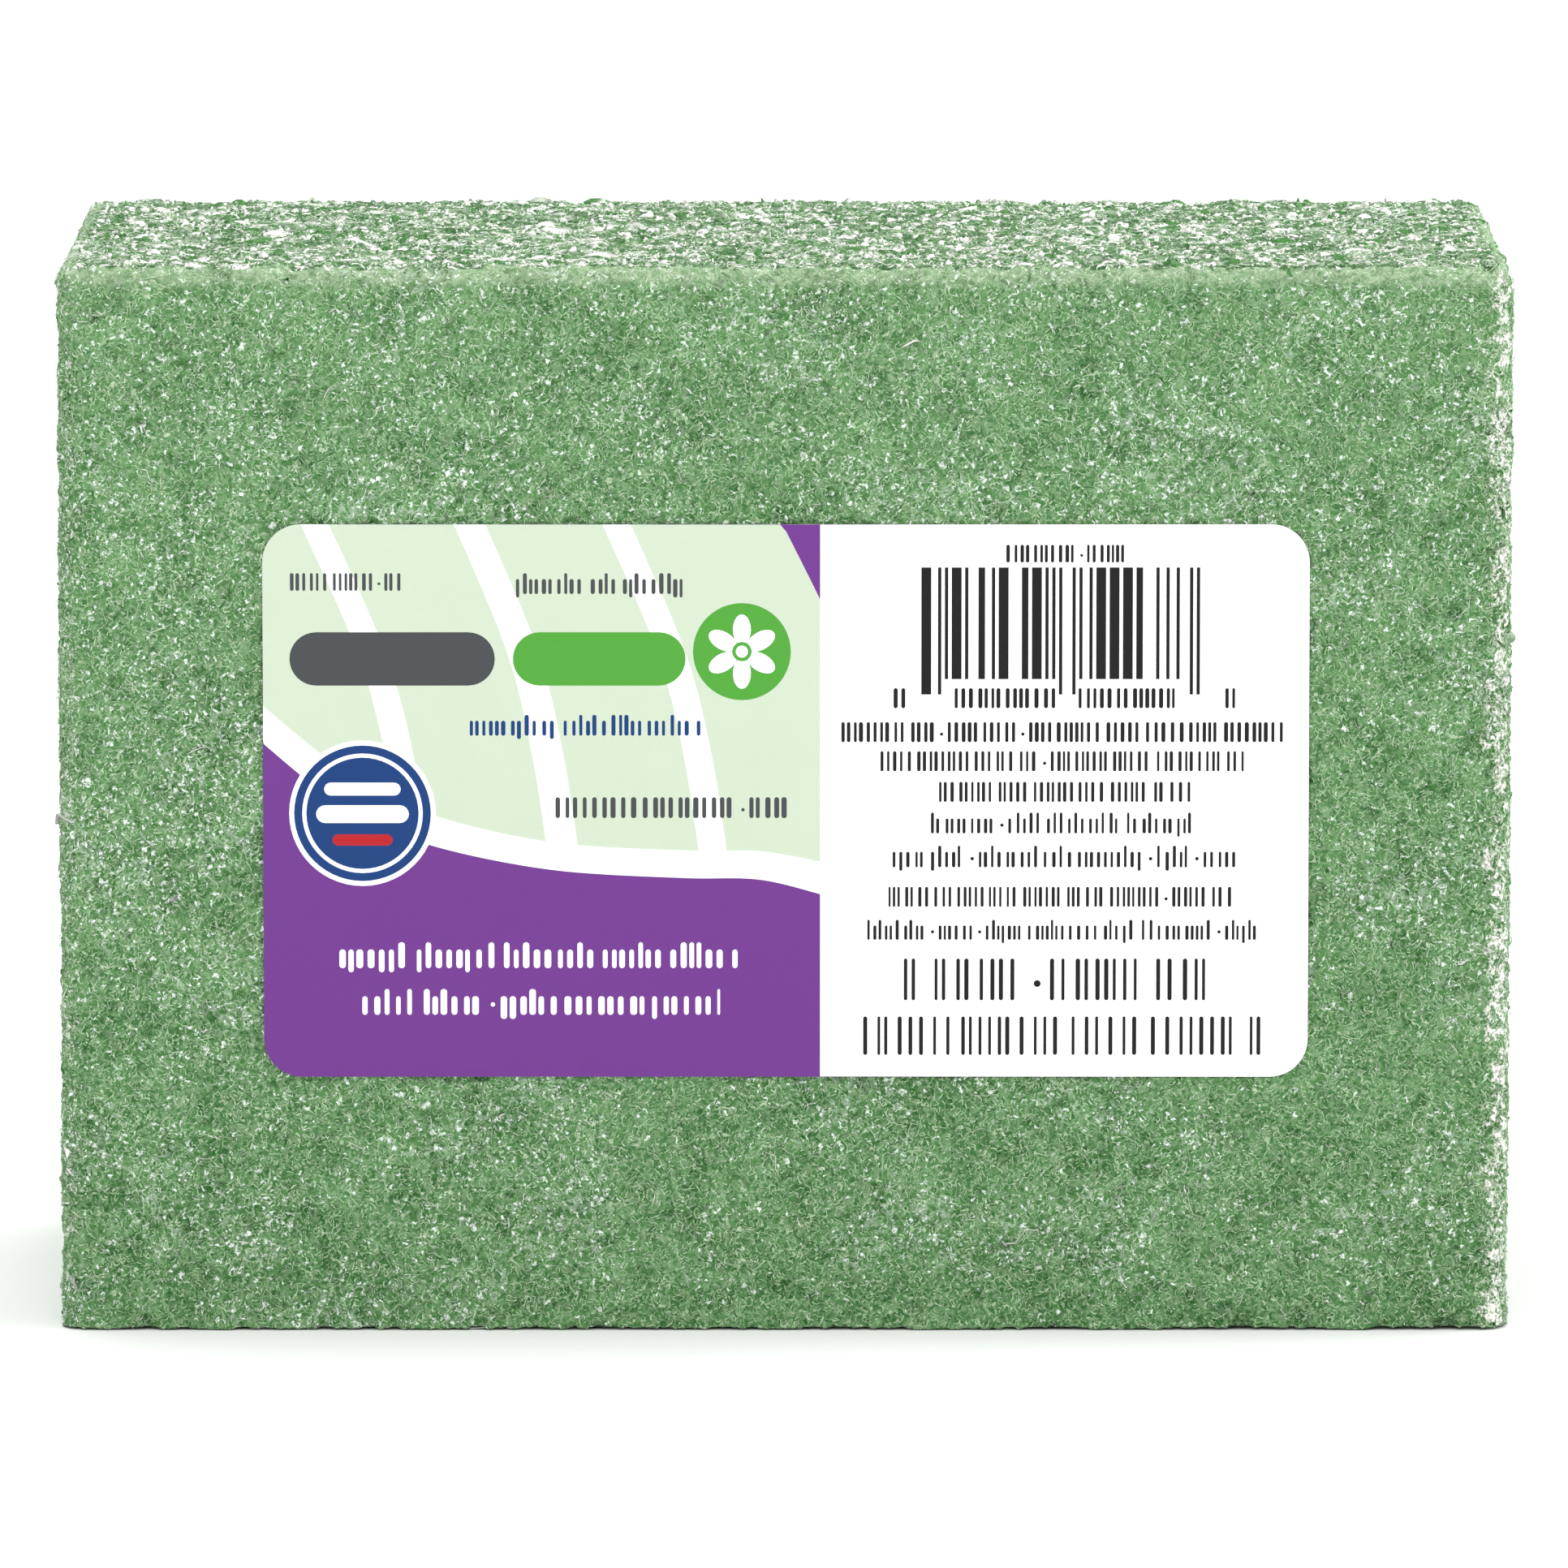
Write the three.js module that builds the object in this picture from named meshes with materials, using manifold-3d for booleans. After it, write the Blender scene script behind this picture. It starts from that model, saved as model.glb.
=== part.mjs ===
// Floral foam brick: one rigid block of dry craft foam with a self-adhesive
// printed paper label on its front face.
//
// Millimetres, +Z up. The brick stands on its long narrow side, as it is sold:
// +X is the long way, +Z is up, and the label faces -Y.
// The origin is the middle of the flat face the brick stands on.

import * as THREE from 'three';
import * as BufferGeometryUtils from 'three/addons/utils/BufferGeometryUtils.js';
import Module from 'manifold-3d';

// --- driving dimensions -----------------------------------------------------

const BRICK_LENGTH = 99.0;      // X, 9.9 cm as sold
const BRICK_HEIGHT = 73.0;      // Z, 7.3 cm as sold
const BRICK_DEPTH = 50.0;       // Y, 5 cm as sold
const UPRIGHT_EDGE_R = 2.0;     // the four upright edges are knocked back
const TOP_EDGE_R = 1.5;         // all round the top face
const CUT_ALLOWANCE = 4.0;      // the blank is this much longer before it is sawn off flat below

const LABEL_LENGTH = 71.05;     // X
const LABEL_HEIGHT = 37.85;     // Z
const LABEL_CORNER_R = 2.6;
const LABEL_CENTRE_X = 0.07;    // from the brick's middle
const LABEL_CENTRE_Z = 36.45;   // above the base
const ADHESIVE_THICKNESS = 0.06;
const PAPER_THICKNESS = 0.12;
const ADHESIVE_MARGIN = 0.15;   // the adhesive stops just short of the paper's edge

// The brick and its label are set so that the whole part is centred on Y.
const SKIN = ADHESIVE_THICKNESS + PAPER_THICKNESS;
const FRONT_Y = -BRICK_DEPTH / 2 + SKIN / 2;
const BACK_Y = FRONT_Y + BRICK_DEPTH;

// --- outlines ---------------------------------------------------------------

// A rectangle with rounded corners, centred on the origin.
function roundedRectangle(width, height, radius) {
  const x = width / 2;
  const y = height / 2;
  const s = new THREE.Shape();
  s.moveTo(-x + radius, -y);
  s.lineTo(x - radius, -y);
  s.absarc(x - radius, -y + radius, radius, -Math.PI / 2, 0, false);
  s.lineTo(x, y - radius);
  s.absarc(x - radius, y - radius, radius, 0, Math.PI / 2, false);
  s.lineTo(-x + radius, y);
  s.absarc(-x + radius, y - radius, radius, Math.PI / 2, Math.PI, false);
  s.lineTo(-x, -y + radius);
  s.absarc(-x + radius, -y + radius, radius, Math.PI, 1.5 * Math.PI, false);
  return s;
}

// --- boolean cutting --------------------------------------------------------

const wasm = await Module();
wasm.setup();

function toManifold(geometry) {
  const g = geometry.clone();
  g.deleteAttribute('normal');
  g.deleteAttribute('uv');
  const merged = BufferGeometryUtils.mergeVertices(g, 1e-4);
  const index = merged.index.array;
  const position = merged.attributes.position.array;
  return new wasm.Manifold(new wasm.Mesh({
    numProp: 3,
    vertProperties: new Float32Array(position),
    triVerts: new Uint32Array(index),
  }));
}

function fromManifold(solid) {
  const m = solid.getMesh();
  const g = new THREE.BufferGeometry();
  g.setAttribute('position', new THREE.BufferAttribute(new Float32Array(m.vertProperties), 3));
  g.setIndex(new THREE.BufferAttribute(new Uint32Array(m.triVerts), 1));
  g.computeVertexNormals();
  return g;
}

// --- foam brick -------------------------------------------------------------

// Drawn in plan, raised along Z with a rolled edge, then sawn flat at the base.
function foamBrick() {
  const blank = new THREE.ExtrudeGeometry(
    roundedRectangle(BRICK_LENGTH, BRICK_DEPTH, UPRIGHT_EDGE_R),
    {
      depth: BRICK_HEIGHT + CUT_ALLOWANCE - 2 * TOP_EDGE_R,
      bevelEnabled: true,
      bevelThickness: TOP_EDGE_R,
      bevelSize: TOP_EDGE_R,
      bevelOffset: -TOP_EDGE_R,
      bevelSegments: 6,
      curveSegments: 8,
    },
  );
  blank.translate(0, (FRONT_Y + BACK_Y) / 2, BRICK_HEIGHT - (BRICK_HEIGHT + CUT_ALLOWANCE - TOP_EDGE_R));
  const keep = new THREE.BoxGeometry(BRICK_LENGTH * 1.5, BRICK_DEPTH * 1.5, BRICK_HEIGHT * 1.5);
  keep.translate(0, 0, BRICK_HEIGHT * 0.75);
  return fromManifold(toManifold(blank).intersect(toManifold(keep)));
}

// --- label ------------------------------------------------------------------

// A flat sheet standing against the brick's front, from y = back to y = back - thickness.
function sheet(length, height, radius, thickness, back) {
  const g = new THREE.ExtrudeGeometry(roundedRectangle(length, height, radius), {
    depth: thickness,
    bevelEnabled: false,
    curveSegments: 10,
  });
  g.rotateX(Math.PI / 2);          // drawn in XZ, thickness now runs towards -Y
  g.translate(LABEL_CENTRE_X, back, LABEL_CENTRE_Z);
  return g;
}

const adhesiveGeometry = sheet(
  LABEL_LENGTH - 2 * ADHESIVE_MARGIN,
  LABEL_HEIGHT - 2 * ADHESIVE_MARGIN,
  LABEL_CORNER_R - ADHESIVE_MARGIN,
  ADHESIVE_THICKNESS,
  FRONT_Y,
);
const paperGeometry = sheet(
  LABEL_LENGTH,
  LABEL_HEIGHT,
  LABEL_CORNER_R,
  PAPER_THICKNESS,
  FRONT_Y - ADHESIVE_THICKNESS,
);

// --- assembly ---------------------------------------------------------------

function part(name, geometry, material) {
  const mesh = new THREE.Mesh(geometry, new THREE.MeshStandardMaterial(material));
  mesh.name = name;
  return mesh;
}

const group = new THREE.Group();
group.name = 'floral_foam_brick';
group.add(part('foam_brick', foamBrick(), { color: 0x81a57a, roughness: 0.9, metalness: 0.0 }));
group.add(part('label_adhesive', adhesiveGeometry, { color: 0xe6e8dc, roughness: 0.35, metalness: 0.0 }));
group.add(part('label_face', paperGeometry, { color: 0xf4f6f2, roughness: 0.45, metalness: 0.0 }));

export default group;
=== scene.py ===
import math

import bpy
import numpy as np
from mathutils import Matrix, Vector
from mathutils.geometry import delaunay_2d_cdt


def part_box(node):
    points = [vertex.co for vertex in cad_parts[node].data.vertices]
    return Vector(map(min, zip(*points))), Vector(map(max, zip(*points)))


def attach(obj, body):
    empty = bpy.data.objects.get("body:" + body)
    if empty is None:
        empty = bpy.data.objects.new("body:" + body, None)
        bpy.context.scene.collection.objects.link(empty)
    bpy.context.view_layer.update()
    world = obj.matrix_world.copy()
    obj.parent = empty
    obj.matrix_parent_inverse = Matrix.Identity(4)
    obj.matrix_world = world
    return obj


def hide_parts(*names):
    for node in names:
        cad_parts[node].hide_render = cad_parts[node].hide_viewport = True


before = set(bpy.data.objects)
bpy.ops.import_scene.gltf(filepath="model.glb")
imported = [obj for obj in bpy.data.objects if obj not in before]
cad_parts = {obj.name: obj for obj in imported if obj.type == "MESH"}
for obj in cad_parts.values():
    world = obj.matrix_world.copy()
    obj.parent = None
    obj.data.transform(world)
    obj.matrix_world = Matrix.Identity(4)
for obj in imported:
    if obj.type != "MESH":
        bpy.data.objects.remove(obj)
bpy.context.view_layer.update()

MM = 0.001
PITCH = 0.2       # mm between points of the foam's surface mesh

blo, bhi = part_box("foam_brick")
flo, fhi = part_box("label_face")
BL = np.array(blo) / MM                   # the brick's corners, in mm
BH = np.array(bhi) / MM
FRONT = BL[1]                             # the face that carries the label
LAB_C = ((flo.x + fhi.x) / 2 / MM, (flo.z + fhi.z) / 2 / MM)
LAB_W, LAB_H = (fhi.x - flo.x) / MM, (fhi.z - flo.z) / MM
LAB_R = 2.6


# ---------------------------------------------------------------------------
# small numeric helpers, all in mm
# ---------------------------------------------------------------------------

def smooth(a, b, x):
    t = np.clip((x - a) / (b - a), 0.0, 1.0)
    return t * t * (3.0 - 2.0 * t)


class Lattice:
    """Random numbers on a grid of boxes that covers the brick."""

    def __init__(self, cell, seed, channels):
        self.cell = cell
        self.lo = BL - 4.0
        self.n = np.ceil((BH - BL + 8.0) / cell).astype(int) + 3
        rng = np.random.default_rng(seed)
        self.table = rng.random((int(np.prod(self.n)), channels), dtype=np.float32)

    def locate(self, p):
        g = (p - self.lo) / self.cell
        i = np.floor(g).astype(np.int32)
        return i, (g - i).astype(np.float32)

    def rows(self, i):
        return (i[:, 0] * self.n[1] + i[:, 1]) * self.n[2] + i[:, 2]


def value_noise(p, cell, seed, channels=1):
    """Smooth noise from 0 to 1, one column per channel."""
    lat = Lattice(cell, seed, channels)
    i, f = lat.locate(p)
    f = f * f * (3.0 - 2.0 * f)
    out = np.zeros((len(p), channels), np.float32)
    for dx in (0, 1):
        wx = f[:, 0] if dx else 1.0 - f[:, 0]
        for dy in (0, 1):
            wy = f[:, 1] if dy else 1.0 - f[:, 1]
            for dz in (0, 1):
                wz = f[:, 2] if dz else 1.0 - f[:, 2]
                r = lat.rows(i + np.array([dx, dy, dz], np.int32))
                out += lat.table[r] * (wx * wy * wz)[:, None]
    return out


def cells(p, cell, seed, jitter=0.95):
    """Foam cells: for each point the distance to its cell's wall, the vector from the wall's
    near side to its far side, the cell's centre and four random numbers of the cell."""
    lat = Lattice(cell, seed, 7)
    i, _ = lat.locate(p)
    best = np.full(len(p), 1e9, np.float32)
    site = np.zeros((len(p), 3), np.float32)
    row1 = np.zeros(len(p), np.int64)
    steps = [(a, b, c) for a in (-1, 0, 1) for b in (-1, 0, 1) for c in (-1, 0, 1)]
    pl = (p - lat.lo).astype(np.float32)

    def centre(d):
        j = i + np.array(d, np.int32)
        r = lat.rows(j)
        s = (j + 0.5 + jitter * (lat.table[r, :3] - 0.5)) * np.float32(cell)
        return r, s.astype(np.float32)

    for d in steps:
        r, s = centre(d)
        q = ((s - pl) ** 2).sum(1)
        m = q < best
        best[m] = q[m]
        site[m] = s[m]
        row1[m] = r[m]
    wall = np.full(len(p), 1e9, np.float32)
    across = np.zeros((len(p), 3), np.float32)
    for d in steps:
        r, s = centre(d)
        v = s - site
        L = np.sqrt((v ** 2).sum(1))
        same = r == row1
        L[same] = 1.0
        e = (((s + site) * 0.5 - pl) * v).sum(1) / L
        e[same] = 1e9
        m = e < wall
        wall[m] = e[m]
        across[m] = v[m]
    return wall, across, site + lat.lo.astype(np.float32), lat.table[row1, 3:]


# ---------------------------------------------------------------------------
# the foam block's cut surface
# ---------------------------------------------------------------------------

R_UP, R_TOP, R_BOT = 2.0, 1.5, 0.04
CY = (BL[1] + BH[1]) / 2
HX, HY = (BH[0] - BL[0]) / 2, (BH[1] - BL[1]) / 2
HZ = BH[2] - BL[2]


def block_grid(pitch):
    """Points, normals and quads of a rounded block, welded along its edges."""
    size = BH - BL
    n = np.maximum(np.round(size / pitch).astype(int), 4)
    ax = [np.arange(k + 1) for k in n]

    def key(i, j, k):
        return (i.astype(np.int64) * (n[1] + 1) + j) * (n[2] + 1) + k

    quads = []

    def side(axis, at, flip):
        u, v = [a for a in range(3) if a != axis]
        U, V = np.meshgrid(ax[u], ax[v], indexing="ij")
        c = [None] * 3
        c[axis] = np.full_like(U, at)
        c[u], c[v] = U, V
        k = key(*c)
        q = np.stack([k[:-1, :-1], k[1:, :-1], k[1:, 1:], k[:-1, 1:]], -1).reshape(-1, 4)
        quads.append(q[:, ::-1] if flip else q)

    side(0, 0, True); side(0, n[0], False)
    side(1, 0, False); side(1, n[1], True)
    side(2, 0, True); side(2, n[2], False)
    quads = np.concatenate(quads)
    keys, inv = np.unique(quads, return_inverse=True)
    quads = inv.reshape(-1, 4).astype(np.int32)
    k = keys % (n[2] + 1)
    j = (keys // (n[2] + 1)) % (n[1] + 1)
    i = keys // ((n[2] + 1) * (n[1] + 1))
    x = -HX + 2 * HX * i / n[0]
    y = -HY + 2 * HY * j / n[1]
    z = HZ * k / n[2]

    qx, qy = np.clip(x, -(HX - R_UP), HX - R_UP), np.clip(y, -(HY - R_UP), HY - R_UP)
    dx, dy = np.abs(x - qx), np.abs(y - qy)
    u = np.maximum(dx, dy)
    safe = np.maximum(u, 1e-9)
    th = np.where(dx >= dy, math.pi / 4 * dy / safe, math.pi / 2 - math.pi / 4 * dx / safe)
    nx, ny = np.cos(th) * np.sign(x), np.sin(th) * np.sign(y)
    rim = (i == 0) | (i == n[0]) | (j == 0) | (j == n[1])
    s = np.where(rim, 0.0, R_UP - u)
    phi = np.zeros(len(x))
    top, bot = k == n[2], k == 0
    phi[top & (u == 0)] = math.pi / 2
    phi[bot & (u == 0)] = -math.pi / 2
    z2, inset = z.copy(), s.copy()
    for r, sign, cap, h in ((R_TOP, 1, top, HZ - z), (R_BOT, -1, bot, z)):
        a = np.where(
            cap, np.minimum(math.pi / 4 * (1 + s / r), math.pi / 2),
            np.clip(math.pi / 4 * (1 - h / r), 0, math.pi / 2))
        zone = (cap & (s < r)) | (~cap & rim & (h < r))
        inset = np.where(zone, r * (1 - np.cos(a)), inset)
        z2 = np.where(zone, (HZ - r * (1 - np.sin(a))) if sign > 0 else r * (1 - np.sin(a)), z2)
        phi = np.where(zone | cap, sign * np.where(cap & (s >= r), math.pi / 2, a), phi)
    uu = np.where(u > 0, R_UP - inset, 0.0)
    px, py = qx + uu * nx, qy + uu * ny
    p = np.stack([px + (BL[0] + BH[0]) / 2, py + CY, z2 + BL[2]], 1)
    nrm = np.stack([np.cos(phi) * nx, np.cos(phi) * ny, np.sin(phi)], 1)
    nrm /= np.linalg.norm(nrm, axis=1)[:, None]
    return p.astype(np.float32), nrm.astype(np.float32), quads


def foam_relief(p, nrm):
    """Height of the cut surface over its flat envelope, in mm, and what the material reads."""
    warp = value_noise(p, 0.9, 11, 3) - 0.5 + 0.5 * (value_noise(p, 0.45, 12, 3) - 0.5)
    pw = p + 0.45 * warp
    wa, across_a, _, ra = cells(pw, 1.75, 21)
    wb, across_b, _, rb = cells(pw, 0.80, 22)
    broken = value_noise(p, 2.3, 13, 1)[:, 0]
    clump = (value_noise(p, 5.5, 14, 1) + 0.6 * value_noise(p, 2.4, 15, 1))[:, 0] / 1.6
    bowl_a = 1 - (1 - np.clip(wa / 0.42, 0, 1)) ** 2
    bowl_b = 1 - (1 - np.clip(wb / 0.25, 0, 1)) ** 2
    deep_a = 0.06 + 0.30 * ra[:, 0] ** 1.4
    deep_b = 0.03 + 0.17 * rb[:, 0]
    slack = 0.12 * smooth(0.42, 0.8, broken)
    fine = value_noise(p, 0.38, 16, 1)[:, 0] - 0.5
    h = 0.0 - deep_a * bowl_a - deep_b * bowl_b - slack + 0.07 * fine
    x, z = p[:, 0] - LAB_C[0], p[:, 2] - LAB_C[1]
    under = (np.abs(p[:, 1] - FRONT) < 0.01) & (np.abs(x) < LAB_W / 2) & (np.abs(z) < LAB_H / 2)
    h = np.where(under, np.minimum(h, -0.03), h)
    h = np.where(nrm[:, 2] < -0.1, np.minimum(h, 0.0), h)
    ragged = 0.5 * (value_noise(p, 1.3, 17, 1)[:, 0] - 0.5)
    # edge: a painted highlight along the front right rounded edge that fades onto the right face, and frayed wear along
    # all the rounded vertical edges
    front_round = smooth(0.1, 0.5, -nrm[:, 1])
    edge = smooth(BH[0] - 2.7, BH[0] - 0.9, p[:, 0] + 2.2 * ragged) * front_round * (0.94 + 0.7 * ragged)
    corner = smooth(0.5, 0.92, 2.0 * np.abs(nrm[:, 0] * nrm[:, 1]) + 0.3 * ragged)
    behind = 0.42 * smooth(0.85, 0.98, nrm[:, 0]) * (1 - smooth(1.0, 7.0, p[:, 1] - BL[1] + 3 * ragged))
    edge = np.maximum(np.maximum(0.82 * edge, 0.38 * corner), behind)
    top_face = smooth(0.90, 1.0, nrm[:, 2] + 0.2 * ragged)
    h = h + top_face * 0.20 * (value_noise(p, 1.5, 18, 1)[:, 0] - 0.65)
    return h.astype(np.float32), dict(
        top_face=top_face, edge=edge, wall_a=wa, wall_b=wb, rnd_a=ra[:, 1], rnd_b=rb[:, 1], clump=clump,
        pit=np.clip(-h / 0.5, 0, 1)), across_a, across_b


def mesh_from(name, verts, faces, smooth_shade=True):
    """A mesh from arrays; faces all have the same number of corners."""
    me = bpy.data.meshes.new(name)
    me.vertices.add(len(verts))
    me.vertices.foreach_set("co", np.asarray(verts, np.float32).ravel())
    k = faces.shape[1]
    me.loops.add(faces.size)
    me.loops.foreach_set("vertex_index", faces.astype(np.int32).ravel())
    me.polygons.add(len(faces))
    me.polygons.foreach_set("loop_start", np.arange(0, faces.size, k, dtype=np.int32))
    if smooth_shade:
        me.polygons.foreach_set("use_smooth", np.ones(len(faces), bool))
    me.update(calc_edges=True)
    me.validate()
    return me


def add_float(me, name, values):
    a = me.attributes.new(name, "FLOAT", "POINT")
    a.data.foreach_set("value", np.asarray(values, np.float32).ravel())


def add_vector(me, name, values):
    a = me.attributes.new(name, "FLOAT_VECTOR", "POINT")
    a.data.foreach_set("vector", np.asarray(values, np.float32).ravel())


def add_object(name, me):
    ob = bpy.data.objects.new(name, me)
    bpy.context.scene.collection.objects.link(ob)
    return ob


rest, normal, quads = block_grid(PITCH)
height, facts, across_a, across_b = foam_relief(rest, normal)
surface = rest + normal * height[:, None]
surface[:, 2] = np.maximum(surface[:, 2], BL[2])
me = mesh_from("foam_block", surface * MM, quads)
add_vector(me, "rest", rest)
for name, values in facts.items():
    add_float(me, name, values)
foam = add_object("foam_block", me)


# ---------------------------------------------------------------------------
# torn cell walls and flakes of cell membrane that stand on the cut surface
# ---------------------------------------------------------------------------

def unit(v):
    return v / np.maximum(np.linalg.norm(v, axis=1), 1e-9)[:, None]


def off_label(p, margin=0.1):
    x, z = np.abs(p[:, 0] - LAB_C[0]), np.abs(p[:, 2] - LAB_C[1])
    on_front = p[:, 1] < FRONT + 0.6
    return ~(on_front & (x < LAB_W / 2 + margin) & (z < LAB_H / 2 + margin))


def pick_points(rng, count, weight):
    c = np.cumsum(weight / weight.sum())
    return np.minimum(np.searchsorted(c, rng.random(count)), len(weight) - 1)


def wall_starts(rng, count, wide):
    """Where walls stand, the surface normal there, and which way each one runs."""
    weight = np.exp(-facts["wall_a"] / (0.10 * wide)) + 0.5 * np.exp(-facts["wall_b"] / (0.06 * wide))
    weight = weight * (0.35 + 1.3 * facts["clump"]) * (1 + 1.2 * facts["top_face"] + facts["edge"]) * (rest[:, 2] > BL[2] + 0.3)
    idx = pick_points(rng, count, weight)
    n = normal[idx]
    near_a = facts["wall_a"][idx] < facts["wall_b"][idx] * 1.4
    v = np.where(near_a[:, None], across_a[idx], across_b[idx])
    return idx, n, unit(np.cross(n, v))


def prism_faces(K, count):
    """Faces of a closed three-sided bar with K rings, for each of count bars."""
    F = []
    for k in range(K - 1):
        for m in range(3):
            a, b = k * 3 + m, k * 3 + (m + 1) % 3
            F.append((a, a + 3, b)); F.append((b, a + 3, b + 3))
    e = (K - 1) * 3
    F.append((0, 1, 2)); F.append((e, e + 2, e + 1))
    return (np.array(F)[None] + (np.arange(count) * K * 3)[:, None, None]).reshape(-1, 3)


def fins(count, seed, length):
    """Cut cell walls: thin upright wedges that follow the cells' edges, open to one side or leaning."""
    rng = np.random.default_rng(seed)
    idx, n, t = wall_starts(rng, count, 1.0)
    turn = rng.normal(0, 0.35, count)[:, None]
    side = unit(np.cross(n, t))
    t = unit(t + turn * side)
    side = unit(np.cross(n, t))
    L = np.clip(length * np.exp(rng.normal(0, 0.5, count)), 0.25, 2.6)
    bend = rng.normal(0, 0.16, count) * L
    skew = rng.normal(0, 0.10, count) * L
    top = height[idx] + 0.02 + rng.gamma(2.0, 0.026, count)
    lean = rng.normal(0, 0.10, count)
    half = rng.uniform(0.026, 0.048, count)
    on_top = facts["top_face"][idx]
    top = top + on_top * rng.gamma(2.0, 0.03, count)
    base = rest[idx]
    K = 4
    V = np.zeros((count, K, 3, 3), np.float32)
    for k, a in enumerate((-0.5, -0.18, 0.18, 0.5)):
        c = base + t * (a * L)[:, None] + side * (bend * (1 - 4 * a * a) + skew * math.sin(6 * a))[:, None]
        dip = 0.22 * (2 * abs(a)) ** 3
        V[:, k, 0] = c + n * (top - dip)[:, None] + side * (lean * (1 - 0.6 * (2 * abs(a)) ** 3))[:, None]
        V[:, k, 1] = c - side * half[:, None] - n * 0.5
        V[:, k, 2] = c + side * half[:, None] - n * 0.5
    ends = off_label(V[:, 0, 0], 0.05) & off_label(V[:, -1, 0], 0.05) & off_label(V[:, 1, 0], 0.1)
    # walls on the top face are paler, part of the top's painted sheen
    V, tone = V[ends].reshape(int(ends.sum()), K * 3, 3), np.minimum(rng.random(count) * (1 + 0.25 * on_top), 1.0)[ends]
    return V.reshape(-1, 3), prism_faces(K, len(V)), np.repeat(tone, K * 3)


def strands(count, seed, length, radius, along_walls):
    """Short bent three-sided slivers that lie on the cell walls or cross them."""
    rng = np.random.default_rng(seed)
    idx, n, t = wall_starts(rng, count, 1.6)
    free = unit(np.cross(n, rng.normal(size=(count, 3))))
    t = np.where((rng.random(count) < along_walls)[:, None], t, free)
    side = unit(np.cross(n, t))
    L = length * np.exp(rng.normal(0, 0.5, count))
    r = radius * np.exp(rng.normal(0, 0.25, count))
    bend = rng.normal(0, 0.22, count) * L
    skew = rng.normal(0, 0.08, count) * L
    lift = rng.uniform(-0.02, 0.03, count) + r
    tip = rng.normal(0, 0.06, count) * L
    base = rest[idx] + n * (height[idx] * 0.8)[:, None]
    K = 4
    path = []
    for a in np.linspace(-0.5, 0.5, K):
        path.append(
            base + t * (a * L)[:, None]
            + side * (bend * (1 - 4 * a * a) + skew * math.sin(6 * a))[:, None]
            + n * (lift + tip * a - 0.10 * (2 * a) ** 4)[:, None])
    path = np.stack(path, 1)
    tang = unit((path[:, -1] - path[:, 0]))
    e1 = unit(np.cross(tang, n))
    e2 = unit(np.cross(e1, tang))
    taper = (0.4, 1.0, 1.0, 0.4)
    V = np.zeros((count, K, 3, 3), np.float32)
    for k in range(K):
        for m, a in enumerate(math.radians(q) for q in (90, 210, 330)):
            V[:, k, m] = path[:, k] + (r * taper[k])[:, None] * (math.cos(a) * e1 + math.sin(a) * e2)
    keep = off_label(path[:, 1], 0.25) & off_label(path[:, 0], 0.1) & off_label(path[:, -1], 0.1)
    V, tone = V[keep].reshape(keep.sum(), K * 3, 3), rng.random(count)[keep]
    return V.reshape(-1, 3), prism_faces(K, len(V)), np.repeat(tone, K * 3)


def flakes(count, seed, size, tilt):
    """Small bits of membrane, each a thin closed lens with a ragged outline."""
    rng = np.random.default_rng(seed)
    # more flakes on the top face and along the edges, where their white adds to the painted sheen and highlight
    weight = (0.12 + smooth(0.45, 0.75, facts["clump"]) * 1.6) * (1 + 2 * facts["top_face"] + 3 * facts["edge"]) * (rest[:, 2] > BL[2] + 0.2)
    idx = pick_points(rng, count, weight)
    n = normal[idx]
    up = unit(n + rng.normal(0, tilt, (count, 3)))
    e1 = unit(np.cross(up, rng.normal(size=(count, 3))))
    e2 = np.cross(up, e1)
    R = size * np.exp(rng.normal(0, 0.5, count))
    c = rest[idx] + n * (height[idx] * 0.7 + rng.uniform(0.0, 0.07, count))[:, None]
    K = 5
    V = np.zeros((count, K + 2, 3), np.float32)
    stretch = rng.uniform(0.22, 0.9, count)
    for k in range(K):
        a = 2 * math.pi * (k + rng.uniform(-0.3, 0.3, count)) / K
        rr = R * rng.uniform(0.55, 1.2, count)
        V[:, k] = c + e1 * (rr * np.cos(a))[:, None] + e2 * (rr * np.sin(a) * stretch)[:, None] \
            + up * (rng.normal(0, 0.10, count) * R)[:, None]
    V[:, K] = c + up * (0.010 + 0.03 * R)[:, None]
    V[:, K + 1] = c - up * (0.010 + 0.03 * R)[:, None]
    F = np.array([(k, (k + 1) % K, K) for k in range(K)] + [((k + 1) % K, k, K + 1) for k in range(K)])
    keep = off_label(c, 0.45)
    V, tone = V[keep], rng.random(count)[keep]
    F = (F[None] + (np.arange(len(V)) * (K + 2))[:, None, None]).reshape(-1, 3)
    return V.reshape(-1, 3), F, np.repeat(tone, K + 2)


def fits(v):
    """Nothing pokes under the floor: every point is raised to a hair above the brick's base."""
    v[:, 2] = np.maximum(v[:, 2], BL[2] + 0.02)
    return v


SHARE = 1.0
v, f, tone = fins(int(24000 * SHARE), 30, 0.6)
me = mesh_from("foam_cell_walls", fits(v) * MM, f, smooth_shade=False)
add_float(me, "tone", tone)
walls = add_object("foam_cell_walls", me)

v, f, tone = strands(int(16000 * SHARE), 31, 0.5, 0.034, 0.5)
me = mesh_from("foam_cell_struts", fits(v) * MM, f)
add_float(me, "tone", tone)
struts = add_object("foam_cell_struts", me)

v, f, tone = flakes(int(26000 * SHARE), 41, 0.06, 0.4)
me = mesh_from("foam_membrane_flakes", fits(v) * MM, f, smooth_shade=False)
add_float(me, "tone", tone)
chips = add_object("foam_membrane_flakes", me)


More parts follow.
